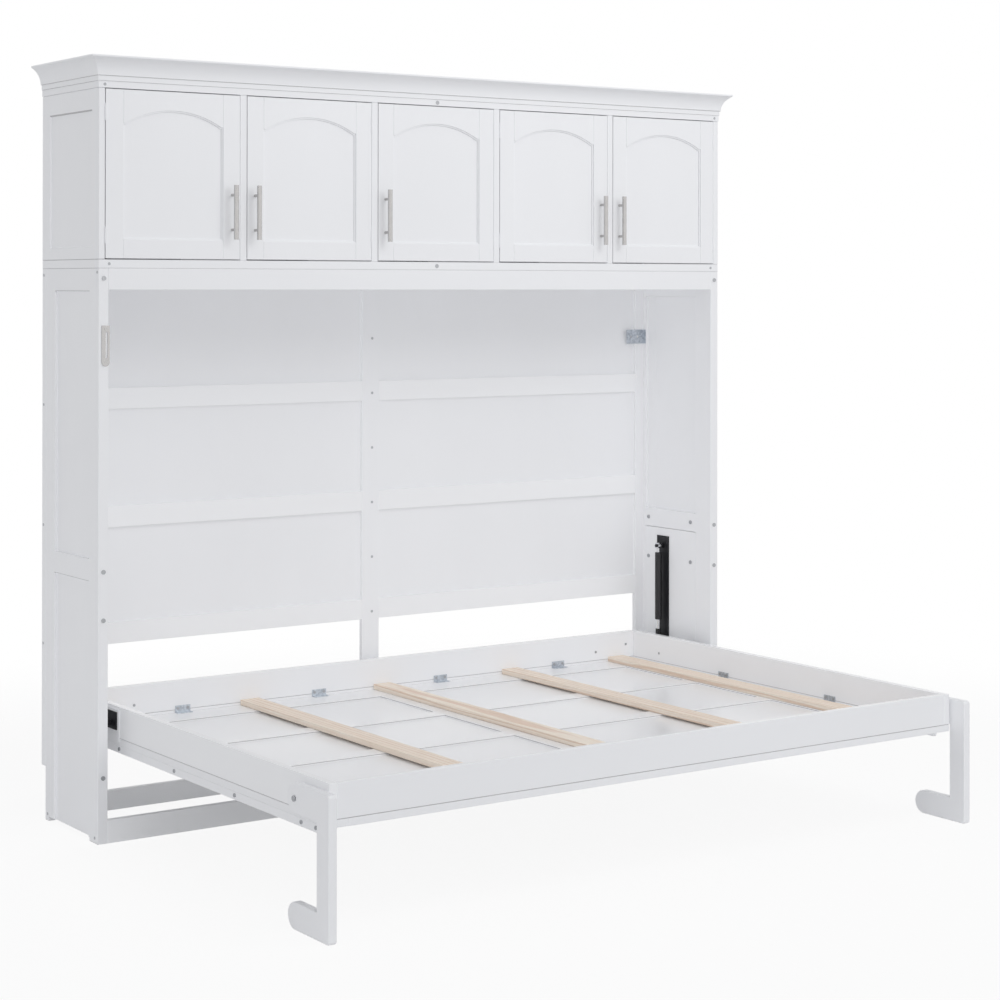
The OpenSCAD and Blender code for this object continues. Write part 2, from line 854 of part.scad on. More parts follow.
module handle(i) {
    x_free = hinged_right[i] ? handle_edge : door_w - handle_edge;
    x = bay_x(i) + door_gap + x_free;
    z0 = door_z + handle_up;
    mid = z0 + handle_len / 2;
    union() {
        translate([x, -handle_stand, z0]) cylinder(h = handle_len, d = handle_d);
        for (s = [-1, 1])
            translate([x, 0, mid + s * handle_cc / 2]) rotate([90, 0, 0])
                cylinder(h = handle_stand, d = handle_post_d);
    }
}

module handle_1() {
    color("silver") handle(0);
}

module handle_2() {
    color("silver") handle(1);
}

module handle_3() {
    color("silver") handle(2);
}

module handle_4() {
    color("silver") handle(3);
}

module handle_5() {
    color("silver") handle(4);
}

// X of door i's hinge line
function hinge_x(i) = hinged_right[i] ? bay_x(i) + bay_w - door_gap / 2 : bay_x(i) + door_gap / 2;

// heights of the two hinges' middles
hinges_z = [door_z + hinge_end, door_z + door_h - hinge_end];

// moving half of door i's hinges: the middle knuckle, and a leaf on the door's edge inside the gap
module door_hinges(i) {
    s = hinged_right[i] ? -1 : 1;
    leaf_x = s > 0 ? door_gap / 2 - leaf_t : -door_gap / 2;
    for (z = hinges_z)
        translate([hinge_x(i), hinge_y, z - hinge_len / 2]) difference() {
            union() {
                translate([0, 0, knuckle + rest_gap]) cylinder(h = knuckle - 2 * rest_gap, d = hinge_d);
                translate([leaf_x, 0, knuckle + rest_gap])
                    cube([leaf_t, hinge_leaf_w - hinge_y, knuckle - 2 * rest_gap]);
                translate([leaf_x, -hinge_y, 0]) cube([leaf_t, hinge_leaf_w, hinge_len]);
            }
            cylinder(h = hinge_len, d = hinge_pin_d + 2 * run_fit);
        }
}

module door_hinges_1() {
    color("white") door_hinges(0);
}

module door_hinges_2() {
    color("white") door_hinges(1);
}

module door_hinges_3() {
    color("white") door_hinges(2);
}

module door_hinges_4() {
    color("white") door_hinges(3);
}

module door_hinges_5() {
    color("white") door_hinges(4);
}

// fixed halves of all door hinges: end knuckles, pin, and a leaf on the board beside the gap
module hutch_hinges() {
    color("white") for (i = [0 : door_count - 1]) {
        leaf_x = hinged_right[i] ? door_gap / 2 - leaf_t : -door_gap / 2;
        for (z = hinges_z)
            translate([hinge_x(i), hinge_y, z - hinge_len / 2]) union() {
                cylinder(h = hinge_len, d = hinge_pin_d);
                for (k = [0, 2 * knuckle])
                    translate([0, 0, k]) {
                        cylinder(h = knuckle, d = hinge_d);
                        translate([leaf_x, 0, 0]) cube([leaf_t, hinge_leaf_w - hinge_y, knuckle]);
                    }
                translate([leaf_x, -hinge_y, 0]) cube([leaf_t, hinge_leaf_w, hinge_len]);
            }
    }
}

// ---- bed ----
module bed_base() {
    first = bed_rear - base_rear_w;
    last = -bed_front + base_front_w;
    lip_x = half - lip_end;
    recess_z = bed_floor - base_recess;
    color("white") difference() {
        union() {
            box([-rail_x, -bed_front, base_z], [rail_x, bed_rear, base_top]);
            box([-lip_x, -bed_front - front_lip, base_z], [lip_x, -bed_front, base_top]);
        }
        box([-bed_in_x, -bed_front + rail_t, bed_floor], [bed_in_x, bed_rear - rail_t, base_top + 1]);
        both() for (i = [0 : 3]) {
            rear = i == 0 ? first : -base_cross_1 - (i - 1) * base_cross_pitch - base_cross_w / 2;
            front = i == 3 ? last : -base_cross_1 - i * base_cross_pitch + base_cross_w / 2;
            box([-rail_x + base_side_w, front, recess_z], [-base_mid_w / 2, rear, base_top + 1]);
        }
    }
}

module bed_rail_front() {
    color("white") box([-bed_in_x, -bed_front, base_top], [bed_in_x, -bed_front + rail_t, rail_top]);
}

module bed_rail_rear() {
    color("white") box([-bed_in_x, bed_rear - rail_t, base_top], [bed_in_x, bed_rear, rail_top]);
}

module bed_rail_left() {
    color("white") box([-rail_x, -bed_front, base_top], [-bed_in_x, bed_rear, rail_top]);
}

module bed_rail_right() {
    color("white") mirror([1, 0, 0])
        box([-rail_x, -bed_front, base_top], [-bed_in_x, bed_rear, rail_top]);
}

module slats() {
    y0 = -bed_front + rail_t;
    y1 = bed_rear - rail_t;
    color("burlywood") for (x = slats_x)
        box([x - slat_w / 2, y0, bed_floor], [x + slat_w / 2, y1, bed_floor + slat_t]);
}

// bent steel plates between the rails and the base
module bed_brackets() {
    y1 = bed_rear - rail_t;
    z0 = bed_floor;
    w = galv_w / 2;
    color("silver") both() {
        for (x = rear_brackets_x) {
            box([x - w, y1 - galv_t, z0], [x + w, y1, z0 + galv_leg]);
            box([x - w, y1 - galv_leg, z0], [x + w, y1, z0 + galv_t]);
        }
        for (y = side_brackets_y) {
            box([-bed_in_x, y - w, z0], [-bed_in_x + galv_t, y + w, z0 + galv_leg]);
            box([-bed_in_x, y - w, z0], [-bed_in_x + galv_leg, y + w, z0 + galv_t]);
        }
    }
}

// strips under the base's sides
module runners() {
    color("white") both()
        box([-rail_x, runner_front, runner_z], [-rail_x + runner_w, runner_rear, base_z]);
}

// hole for the bed pivot pin
module pivot_bore() {
    rod_x(-rail_x - 20, -rail_x + 1, pivot_y, pivot_z, pivot_d + 2 * run_fit);
}

// white pad between each side rail and its pivot plate
module pivot_pads() {
    color("white") both() difference() {
        box([-rail_x - pivot_pad_t, pivot_pad_y, base_z + pivot_pad_up],
            [-rail_x, pivot_pad_y + pivot_pad_len, rail_top - pivot_pad_down]);
        pivot_bore();
    }
}

// pivot plate and the strut's lower stud on the outer face of each side rail
module bed_pivots() {
    stud_plate_t = 3;
    stud_plate_w = 48;
    stud_plate_low = 26;
    stud_plate_high = 37;
    stud_len = 11;
    stud_z = strut_z - strut_len + stud_up;
    plate_x = -rail_x - pivot_pad_t;
    plate_up = 9;
    plate_z = pivot_z + plate_up - pivot_plate_h / 2;
    color("black") both() {
        difference() {
            box([plate_x - pivot_plate_t, pivot_plate_y, plate_z],
                [plate_x, pivot_plate_y + pivot_plate_len, plate_z + pivot_plate_h]);
            pivot_bore();
        }
        union() {
            box([-rail_x - stud_plate_t, strut_y - stud_plate_w / 2, stud_z - stud_plate_low],
                [-rail_x, strut_y + stud_plate_w / 2, stud_z + stud_plate_high]);
            rod_x(-rail_x - stud_len, -rail_x, strut_y, stud_z, rod_d);
        }
    }
}

// runner bolts, and screws in the rails and their brackets
module bed_fixings() {
    z = runner_z + runner_h / 2 + 1;
    rail_screw_z = base_top + rail_screw_up;
    bracket_screw_in = 8;
    bracket_screw_z = bed_floor + galv_leg - bracket_screw_in;
    bracket_screw_off = galv_w / 2 - bracket_screw_in;
    outer_screw_up = 15;
    y1 = bed_rear - rail_t;
    color("gray") both() {
        for (i = [0 : 3])
            head_left(-rail_x, runner_bolt_y - i * runner_bolt_pitch, z, runner_bolt_d, bolt_h);
        head_left(-rail_x, runner_front + runner_bolt_end, z, runner_bolt_d, bolt_h);
        head_right(-bed_in_x, side_screw_y, rail_screw_z, screw_d, screw_h);
        head_front(-bed_in_x + rear_screw_in, y1, rail_screw_z, screw_d, screw_h);
        head_front(-bed_in_x + rear_screw_out, y1, rail_screw_z + outer_screw_up, screw_d, screw_h);
        for (s = [-bracket_screw_off, bracket_screw_off]) {
            for (x = rear_brackets_x)
                head_front(x + s, y1 - galv_t, bracket_screw_z, screw_d, screw_h);
            for (y = side_brackets_y)
                head_right(-bed_in_x + galv_t, y + s, bracket_screw_z, screw_d, screw_h);
        }
    }
}

// bolt through each leg's upper end, with a spacer against the rail
module leg_bolts() {
    x_out = -leg_x - rest_gap;
    x_in = -leg_x + leg_t + rest_gap;
    color("gray") both() {
        rod_x(x_out - leg_head_t, x_out, -leg_pivot_y, leg_pivot_z, leg_head_d);
        rod_x(x_out, -rail_x, -leg_pivot_y, leg_pivot_z, leg_bolt_d);
        rod_x(x_in, -rail_x, -leg_pivot_y, leg_pivot_z, leg_spacer_d);
    }
}

// ---- legs ----
// outline in the Y-Z plane
module leg_outline() {
    corner = 8;
    foot_r = leg_foot_h / 2;
    arm_low = leg_pivot_z - leg_arm_r;
    top = leg_pivot_z + leg_arm_r;
    difference() {
        union() {
            translate([-leg_pivot_y, leg_pivot_z]) circle(r = leg_arm_r);
            translate([-leg_front + corner, arm_low]) square([leg_front - corner - leg_pivot_y, top - arm_low]);
            translate([-leg_front, corner]) square([leg_post_w, top - 2 * corner]);
            translate([-leg_front + corner, 0]) square([leg_post_w - corner, top]);
            translate([-leg_front + corner, corner]) circle(r = corner);
            translate([-leg_front + corner, top - corner]) circle(r = corner);
            translate([-leg_front + corner, 0]) square([leg_front - corner - leg_foot_rear - foot_r, leg_foot_h]);
            translate([-leg_foot_rear - foot_r, foot_r]) circle(r = foot_r);
        }
        translate([-leg_pivot_y, leg_pivot_z]) circle(d = leg_bolt_d + 2 * run_fit);
    }
}

module leg_left() {
    color("white") slab_x(-leg_x, -leg_x + leg_t) leg_outline();
}

module leg_right() {
    color("white") mirror([1, 0, 0]) slab_x(-leg_x, -leg_x + leg_t) leg_outline();
}

// ---- lift struts ----
// rod with its eye on the upper stud
module strut_rod() {
    eye_d = 20;
    eye_w = 14;
    tip = strut_z - (strut_len - cylinder_len) - rod_in;
    difference() {
        union() {
            rod_x(-strut_mid - eye_w / 2, -strut_mid + eye_w / 2, strut_y, strut_z, eye_d);
            translate([-strut_mid, strut_y, tip]) cylinder(h = strut_z - tip, d = rod_d);
        }
        rod_x(-strut_mid - eye_w, -strut_mid + eye_w, strut_y, strut_z, rod_d + 2 * run_fit);
    }
}

module strut_rod_left() {
    color("silver") strut_rod();
}

module strut_rod_right() {
    color("silver") mirror([1, 0, 0]) strut_rod();
}

// cylinder round the rod, with a neck and a socket that sits on the bed's stud
module strut_cylinder() {
    z1 = strut_z - (strut_len - cylinder_len);
    z0 = z1 - cylinder_len;
    neck_z = z0 + socket_len;
    body_z = neck_z + neck_len;
    end_wall = 7;
    translate([-strut_mid, strut_y, 0]) difference() {
        union() {
            translate([0, 0, z0]) cylinder(h = socket_len, d = socket_d);
            translate([0, 0, neck_z]) cylinder(h = neck_len, d = neck_d);
            translate([0, 0, body_z]) cylinder(h = z1 - body_z, d = strut_d);
        }
        translate([0, 0, body_z + end_wall]) cylinder(h = cylinder_len, d = rod_d + 2 * run_fit);
    }
}

module strut_cylinder_left() {
    color("black") strut_cylinder();
}

module strut_cylinder_right() {
    color("black") mirror([1, 0, 0]) strut_cylinder();
}

// ---- desk ----
knuckles = 9;
knuckle_len = desk_w / knuckles;

// knuckles of the long desk hinge, from is 0 or 1
module desk_knuckles(from) {
    for (k = [from : 2 : knuckles - 1])
        rod_x(-desk_w / 2 + k * knuckle_len + rest_gap, -desk_w / 2 + (k + 1) * knuckle_len - rest_gap,
            desk_hinge_y, desk_hinge_z, desk_hinge_d);
}

module desk_top() {
    color("white") box([-desk_w / 2, desk_hinge_y - desk_start - desk_d, desk_top_z - desk_t],
        [desk_w / 2, desk_hinge_y - desk_start, desk_top_z]);
}

// moving knuckles and the plate on the desk top's end
module desk_hinge() {
    plate_t = 0.7;
    color("silver") difference() {
        union() {
            desk_knuckles(1);
            for (k = [1 : 2 : knuckles - 1])
                box([-desk_w / 2 + k * knuckle_len + rest_gap, desk_hinge_y - desk_start,
                    desk_hinge_z - desk_hinge_d / 2],
                    [-desk_w / 2 + (k + 1) * knuckle_len - rest_gap, desk_hinge_y,
                    desk_hinge_z - desk_hinge_d / 2 + plate_t]);
        }
        rod_x(-desk_w, desk_w, desk_hinge_y, desk_hinge_z, desk_pin_d + 2 * run_fit);
    }
}

// fixed knuckles and pin on the base, and the fixed ends of the two bracket hinges
module desk_hinge_fixed() {
    post_d = 8;
    post_len = 40;
    color("silver") {
        union() {
            desk_knuckles(0);
            rod_x(-desk_w / 2, desk_w / 2, desk_hinge_y, desk_hinge_z, desk_pin_d);
            for (k = [0 : 2 : knuckles - 1])
                box([-desk_w / 2 + k * knuckle_len + rest_gap, desk_hinge_y, desk_hinge_z],
                    [-desk_w / 2 + (k + 1) * knuckle_len - rest_gap, desk_hinge_y + desk_hinge_d / 2, base_z]);
        }
        both() union() {
            translate([-gate_x, gate_mid - post_len / 2, gate_z]) rotate([-90, 0, 0])
                cylinder(h = post_len, d = post_d);
            box([-gate_x - post_d / 2, gate_mid - post_len / 2, gate_z],
                [-gate_x + post_d / 2, gate_mid + post_len / 2, base_z]);
            translate([-gate_x, gate_start + 2, gate_z]) rotate([-90, 0, 0])
                cylinder(h = gate_h - 4, d = desk_pin_d);
        }
    }
}

// folding bracket: a board with a curved front edge, hinged along its rear edge
module gate() {
    drop = gate_h - gate_tip;
    y0 = gate_start + rest_gap;
    notch_len = 42;
    notch_w = 14;
    difference() {
        union() {
            translate([-gate_x, y0, gate_z - gate_t / 2]) difference() {
                cube([gate_len, gate_h - 2 * rest_gap, gate_t]);
                translate([gate_len, gate_h + drop * 0.4, -1]) cylinder(h = gate_t + 2, r = drop * 1.4, $fn = 96);
            }
            translate([-gate_x, y0, gate_z]) rotate([-90, 0, 0])
                cylinder(h = gate_h - 2 * rest_gap, d = gate_t);
        }
        translate([-gate_x, y0 - 1, gate_z]) rotate([-90, 0, 0])
            cylinder(h = gate_h + 2, d = desk_pin_d + 2 * run_fit);
        box([-gate_x - notch_w / 2, gate_mid - notch_len / 2, gate_z - gate_t],
            [-gate_x + notch_w / 2, gate_mid + notch_len / 2, gate_z + gate_t]);
    }
}

module gate_left() {
    color("white") gate();
}

module gate_right() {
    color("white") mirror([1, 0, 0]) gate();
}

// ---- every node once ----
side_frame_left();
side_frame_right();
side_panels();
mount_boards();
header_rail();
toe_rails();
back_posts();
back_rails();
back_panels();
cabinet_bolts();
cabinet_screws();
wall_brackets();
latch_plate();
lift_plates();
hutch_side_left();
hutch_side_right();
hutch_bottom();
hutch_top();
hutch_back();
hutch_dividers();
crown();
hutch_hinges();
door_1();
door_2();
door_3();
door_4();
door_5();
handle_1();
handle_2();
handle_3();
handle_4();
handle_5();
door_hinges_1();
door_hinges_2();
door_hinges_3();
door_hinges_4();
door_hinges_5();
bed_base();
bed_rail_front();
bed_rail_rear();
bed_rail_left();
bed_rail_right();
slats();
bed_brackets();
runners();
pivot_pads();
bed_pivots();
bed_fixings();
leg_bolts();
leg_left();
leg_right();
strut_rod_left();
strut_rod_right();
strut_cylinder_left();
strut_cylinder_right();
desk_top();
desk_hinge();
desk_hinge_fixed();
gate_left();
gate_right();
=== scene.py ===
import bpy
import bmesh
import json
import math
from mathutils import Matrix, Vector


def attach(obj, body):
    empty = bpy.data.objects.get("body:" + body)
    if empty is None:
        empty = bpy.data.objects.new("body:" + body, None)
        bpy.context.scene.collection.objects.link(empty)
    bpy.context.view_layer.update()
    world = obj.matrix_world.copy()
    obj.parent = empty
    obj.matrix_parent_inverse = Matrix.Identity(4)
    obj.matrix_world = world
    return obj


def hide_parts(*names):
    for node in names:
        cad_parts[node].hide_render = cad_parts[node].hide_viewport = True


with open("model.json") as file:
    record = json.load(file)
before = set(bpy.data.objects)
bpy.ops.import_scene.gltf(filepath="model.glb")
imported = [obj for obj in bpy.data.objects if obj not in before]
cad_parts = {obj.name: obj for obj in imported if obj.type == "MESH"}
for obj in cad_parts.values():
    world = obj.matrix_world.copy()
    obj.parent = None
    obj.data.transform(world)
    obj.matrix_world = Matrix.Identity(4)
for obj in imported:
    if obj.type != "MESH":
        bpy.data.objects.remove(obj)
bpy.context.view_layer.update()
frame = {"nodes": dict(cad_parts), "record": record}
nodes = frame["nodes"]


# ---------------------------------------------------------------- materials
def new_mat(name):
    """A material with a Principled shader and object coordinates: material, tree, shader, coordinates."""
    m = bpy.data.materials.new(name)
    m.use_nodes = True
    nt = m.node_tree
    nt.nodes.clear()
    out = nt.nodes.new("ShaderNodeOutputMaterial")
    bsdf = nt.nodes.new("ShaderNodeBsdfPrincipled")
    nt.links.new(bsdf.outputs["BSDF"], out.inputs["Surface"])
    co = nt.nodes.new("ShaderNodeTexCoord")
    return m, nt, bsdf, co


def noise(nt, co, scale, detail=3.0, stretch=(1, 1, 1)):
    """Noise in object coordinates, stretched along the axes whose factor is under 1."""
    mp = nt.nodes.new("ShaderNodeMapping")
    mp.inputs["Scale"].default_value = stretch
    nt.links.new(co.outputs["Object"], mp.inputs["Vector"])
    n = nt.nodes.new("ShaderNodeTexNoise")
    n.inputs["Scale"].default_value = scale
    n.inputs["Detail"].default_value = detail
    n.inputs["Roughness"].default_value = 0.5
    nt.links.new(mp.outputs["Vector"], n.inputs["Vector"])
    return n.outputs["Fac"]


def ramp(nt, fac, stops):
    """A colour ramp; stops: list of (place, colour or grey)."""
    r = nt.nodes.new("ShaderNodeValToRGB")
    e = r.color_ramp.elements
    while len(e) < len(stops):
        e.new(0.5)
    for i, (p, c) in enumerate(stops):
        e[i].position = p
        e[i].color = (c[0], c[1], c[2], 1) if isinstance(c, tuple) else (c, c, c, 1)
    nt.links.new(fac, r.inputs["Fac"])
    return r.outputs["Color"]


def maths(nt, op, a, b):
    """A math node; a and b are numbers or sockets."""
    n = nt.nodes.new("ShaderNodeMath")
    n.operation = op
    for i, v in enumerate((a, b)):
        if isinstance(v, (int, float)):
            n.inputs[i].default_value = v
        else:
            nt.links.new(v, n.inputs[i])
    return n.outputs[0]


def bump(nt, bsdf, parts):
    """Stacks bumps; parts: list of (height socket, distance in metres, strength)."""
    last = None
    for h, dist, strength in parts:
        b = nt.nodes.new("ShaderNodeBump")
        b.inputs["Distance"].default_value = dist
        b.inputs["Strength"].default_value = strength
        nt.links.new(h, b.inputs["Height"])
        if last:
            nt.links.new(last, b.inputs["Normal"])
        last = b.outputs["Normal"]
    nt.links.new(last, bsdf.inputs["Normal"])


def mix_color(nt, fac, a, b):
    """Mixes two colours; each input is a number, a colour or a socket."""
    n = nt.nodes.new("ShaderNodeMix")
    n.data_type = "RGBA"
    n.blend_type = "MIX"
    for sock, v in ((n.inputs[0], fac), (n.inputs[6], a), (n.inputs[7], b)):
        if isinstance(v, (int, float)):
            sock.default_value = v
        elif isinstance(v, tuple):
            sock.default_value = (v[0], v[1], v[2], 1)
        else:
            nt.links.new(v, sock)
    return n.outputs[2]


PATCH_SHADE = 0.975   # the darker patches of the lacquer


def paint(name, color, grain=(1, 1, 1), rough=0.42, relief=1.0):
    """White lacquer over board: faint roller texture, slight patchiness, soft gloss changes.
    grain stretches the texture, relief scales the bumps and the gloss changes."""
    m, nt, bsdf, co = new_mat(name)
    patch = noise(nt, co, 2.2, 4, grain)
    fine = noise(nt, co, 420, 2)
    mid = noise(nt, co, 60, 3, grain)
    dark = tuple(c * PATCH_SHADE for c in color)
    col = mix_color(nt, ramp(nt, patch, [(0.35, 0.0), (0.72, 1.0)]), dark, color)
    nt.links.new(col, bsdf.inputs["Base Color"])
    gloss = ramp(nt, mid, [(0.3, rough - 0.05 * relief), (0.7, rough + 0.08 * relief)])
    nt.links.new(gloss, bsdf.inputs["Roughness"])
    bump(nt, bsdf, [(mid, 0.0004, 0.25 * relief), (fine, 0.00012, 0.35 * relief)])
    return m


PINE_RINGS = [(0.0, (0.93, 0.79, 0.66)), (0.55, (0.99, 0.91, 0.79)), (1.0, (0.76, 0.55, 0.415))]
PINE_FIBRES = [(0.3, (0.86, 0.69, 0.555)), (0.7, (0.99, 0.935, 0.845))]


def shaded(stops, shade):
    """The stops of a colour ramp, darkened."""
    return [(place, tuple(c * shade for c in color)) for place, color in stops]


def pine(name, shade=1.0):
    """Planed pine with rings and fibres along the board's length; shade darkens all of it, as painted shade.
    """
    m, nt, bsdf, co = new_mat(name)
    mp = nt.nodes.new("ShaderNodeMapping")
    mp.inputs["Scale"].default_value = (9.0, 0.55, 9.0)
    nt.links.new(co.outputs["Object"], mp.inputs["Vector"])
    w = nt.nodes.new("ShaderNodeTexWave")
    w.wave_type = "RINGS"
    w.rings_direction = "Y"
    w.inputs["Scale"].default_value = 2.6
    w.inputs["Distortion"].default_value = 5.0
    w.inputs["Detail"].default_value = 3.0
    w.inputs["Detail Scale"].default_value = 1.2
    nt.links.new(mp.outputs["Vector"], w.inputs["Vector"])
    fibre = noise(nt, co, 260, 4, (1, 0.03, 1))
    rings = ramp(nt, w.outputs["Fac"], shaded(PINE_RINGS, shade))
    fibres = ramp(nt, fibre, shaded(PINE_FIBRES, shade))
    col = mix_color(nt, 0.35, rings, fibres)
    nt.links.new(col, bsdf.inputs["Base Color"])
    bsdf.inputs["Roughness"].default_value = 0.62
    bump(nt, bsdf, [(fibre, 0.0004, 0.5)])
    return m


def metal(name, color, rough, stretch=(1, 1, 1), scale=300.0, depth=0.0001, vary=0.85):
    """Bare metal with fine streaks; stretch draws them out, vary is the shade of its darker spots."""
    m, nt, bsdf, co = new_mat(name)
    streak = noise(nt, co, scale, 3, stretch)
    spots = noise(nt, co, 40, 4)
    dark = tuple(c * vary for c in color)
    nt.links.new(mix_color(nt, spots, dark, color), bsdf.inputs["Base Color"])
    nt.links.new(ramp(nt, streak, [(0.3, rough - 0.06), (0.7, rough + 0.08)]), bsdf.inputs["Roughness"])
    bsdf.inputs["Metallic"].default_value = 1.0
    bump(nt, bsdf, [(streak, depth, 0.4)])
    return m


SPANGLE = [(0.2, (0.46, 0.50, 0.55)), (0.8, (0.66, 0.70, 0.75))]


def galvanised(name):
    """Zinc-coated steel with its spangle."""
    m, nt, bsdf, co = new_mat(name)
    v = nt.nodes.new("ShaderNodeTexVoronoi")
    v.inputs["Scale"].default_value = 160.0
    nt.links.new(co.outputs["Object"], v.inputs["Vector"])
    spangle = ramp(nt, v.outputs["Color"], SPANGLE)
    nt.links.new(spangle, bsdf.inputs["Base Color"])
    nt.links.new(ramp(nt, v.outputs["Color"], [(0.0, 0.32), (1.0, 0.5)]), bsdf.inputs["Roughness"])
    bsdf.inputs["Metallic"].default_value = 1.0
    bump(nt, bsdf, [(noise(nt, co, 500, 2), 0.00008, 0.3)])
    return m


DUST_SHADE = 1.7   # how much paler dust makes the powder coat


def powder(name, color):
    """Powder coat with a fine grain and a little dust."""
    m, nt, bsdf, co = new_mat(name)
    grain = noise(nt, co, 900, 2)
    dust = noise(nt, co, 30, 4)
    dusty = tuple(c * DUST_SHADE for c in color)
    nt.links.new(mix_color(nt, dust, color, dusty), bsdf.inputs["Base Color"])
    nt.links.new(ramp(nt, dust, [(0.3, 0.38), (0.7, 0.52)]), bsdf.inputs["Roughness"])
    bsdf.inputs["Specular IOR Level"].default_value = 0.3
    bump(nt, bsdf, [(grain, 0.00012, 0.5)])
    return m


STRUT_BLACK = (0.016, 0.016, 0.018)
STRUT_NECK = (0.74, 0.75, 0.77)
NECK_LOW, NECK_HIGH = 0.365, 0.395   # heights of the strut's bright neck, in metres


def strut_body(name, low, high):
    """Black cylinder and socket with a bright neck between the heights low and high."""
    m, nt, bsdf, co = new_mat(name)
    grain = noise(nt, co, 700, 2)
    xyz = nt.nodes.new("ShaderNodeSeparateXYZ")
    nt.links.new(co.outputs["Object"], xyz.inputs["Vector"])
    above = maths(nt, "GREATER_THAN", xyz.outputs["Z"], low)
    below = maths(nt, "LESS_THAN", xyz.outputs["Z"], high)
    neck = maths(nt, "MULTIPLY", above, below)
    nt.links.new(mix_color(nt, neck, STRUT_BLACK, STRUT_NECK), bsdf.inputs["Base Color"])
    nt.links.new(neck, bsdf.inputs["Metallic"])
    nt.links.new(ramp(nt, neck, [(0.0, 0.26), (1.0, 0.22)]), bsdf.inputs["Roughness"])
    bump(nt, bsdf, [(grain, 0.00005, 0.3)])
    return m


WHITE = (0.895, 0.902, 0.920)
M = {
    "white_paint": paint("white_paint_upright", WHITE, (1, 1, 0.25)),
    "white_flat": paint("white_paint_level", WHITE, (0.25, 1, 1)),
    # painted light: the bed's floor is painted a brighter white, as if more light fell on it; its low gloss
    # and faint relief belong to the paint
    "white_base_painted_light": paint("white_paint_bed_base_painted_light", (0.96, 0.964, 0.975), (1, 1, 1), 0.24, 0.03),
    # painted light: a brighter white for the nodes in BRIGHT, standing in for light that reaches them
    "white_painted_light": paint("white_paint_painted_light", (0.93, 0.936, 0.95), (0.25, 1, 1)),
    # painted highlight: a brighter, glossier white for the bed's inside edges and the rails' tops
    "white_painted_highlight": paint("white_paint_painted_highlight", (0.97, 0.972, 0.98), (1, 1, 1), 0.18, 0.2),
    # painted shade: a grey copy of the white paint, for undersides, recess walls and the crown's small steps
    "painted_shade": paint("white_paint_painted_shade", (0.56, 0.56, 0.57), (1, 1, 1), 0.5, 0.3),
    "white_door": paint("white_paint_door", (0.90, 0.907, 0.925), (1, 1, 0.35), 0.36),
    "pine": pine("pine_planed"),
    # painted shade: a darker copy of the pine for the slats' sides
    "pine_darker_for_shade": pine("pine_sides_darker_for_shade", 0.86),
    "white_cap": paint("white_screw_cap", (0.52, 0.53, 0.55), (1, 1, 1), 0.3),
    "bolt_steel": metal("zinc_bolt", (0.50, 0.51, 0.53), 0.34),
    "galvanised": galvanised("galvanised_steel"),
    "brushed_nickel": metal("brushed_nickel", (0.57, 0.56, 0.555), 0.25, (1, 1, 0.04), 420.0),
    "black_steel": powder("black_powder_coat", (0.008, 0.008, 0.010)),
    "strut_body": strut_body("strut_body", NECK_LOW, NECK_HIGH),
    "chrome_rod": metal("chrome_rod", (0.72, 0.73, 0.75), 0.12, (1, 1, 1), 200.0, 0.00002, 0.95),
}
# nodes whose length lies along X, and the roller texture with it
ALONG_X = {"bed_base", "header_rail", "hutch_bottom", "hutch_top", "bed_rail_front", "bed_rail_rear",
           "back_rails", "toe_rails", "desk_top", "crown"}
# nodes painted a little brighter, to come closer to the photograph
# the brighter paint is painted light: it stands in for light, not for a paler paint
BRIGHT = {"bed_rail_left", "back_rails", "toe_rails"}


# ---------------------------------------------------------------- pieces that stand for the CAD nodes
WELD = 1e-6          # corners closer than this are one
FLAT_ANGLE = 0.5     # degrees up to which neighbouring faces are one
SHARP_ANGLE = 35     # degrees from which an edge is rounded over


def eased(node, body, width, mat, accents=()):
    """A copy of the node's mesh with its sharp edges rounded over, as the real boards and bars are.
    accents: pairs of a material and a test of a face, for faces that get painted light and shade."""
    src = nodes[node]
    bm = bmesh.new()
    bm.from_mesh(src.data)
    bmesh.ops.remove_doubles(bm, verts=bm.verts, dist=WELD)
    bmesh.ops.dissolve_limit(bm, angle_limit=math.radians(FLAT_ANGLE), verts=bm.verts, edges=bm.edges,
                             delimit={"NORMAL"})
    for face in bm.faces:
        face.smooth = True
    me = bpy.data.meshes.new(node + "_eased")
    bm.to_mesh(me)
    bm.free()
    ob = bpy.data.objects.new(node + "_eased", me)
    bpy.context.scene.collection.objects.link(ob)
    mod = ob.modifiers.new("ease", "BEVEL")
    mod.width = width
    mod.segments = 2
    mod.limit_method = "ANGLE"
    mod.angle_limit = math.radians(SHARP_ANGLE)
    mod.use_clamp_overlap = True
    flat = ob.modifiers.new("flat", "WEIGHTED_NORMAL")
    flat.mode = "FACE_AREA"
    flat.weight = 100
    dg = bpy.context.evaluated_depsgraph_get()
    done = bpy.data.meshes.new_from_object(ob.evaluated_get(dg))
    ob.modifiers.clear()
    ob.data = done
    # nothing stands out of the node's own box
    low = [min(v.co[i] for v in src.data.vertices) for i in range(3)]
    high = [max(v.co[i] for v in src.data.vertices) for i in range(3)]
    for v in done.vertices:
        for i in range(3):
            v.co[i] = min(max(v.co[i], low[i]), high[i])
    ob.data.materials.clear()
    ob.data.materials.append(mat)
    for k, (other, wanted) in enumerate(accents):
        ob.data.materials.append(other)
        for face in done.polygons:
            if wanted(face):
                face.material_index = k + 1
    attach(ob, body)
    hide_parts(node)


slot_of = {s["node"]: s["material_slot"] for s in frame["record"]["subparts"]}
bodies = frame["record"]["behaviour"]["bodies"]
body_of = {node: body for body, members in bodies.items() for node in members}

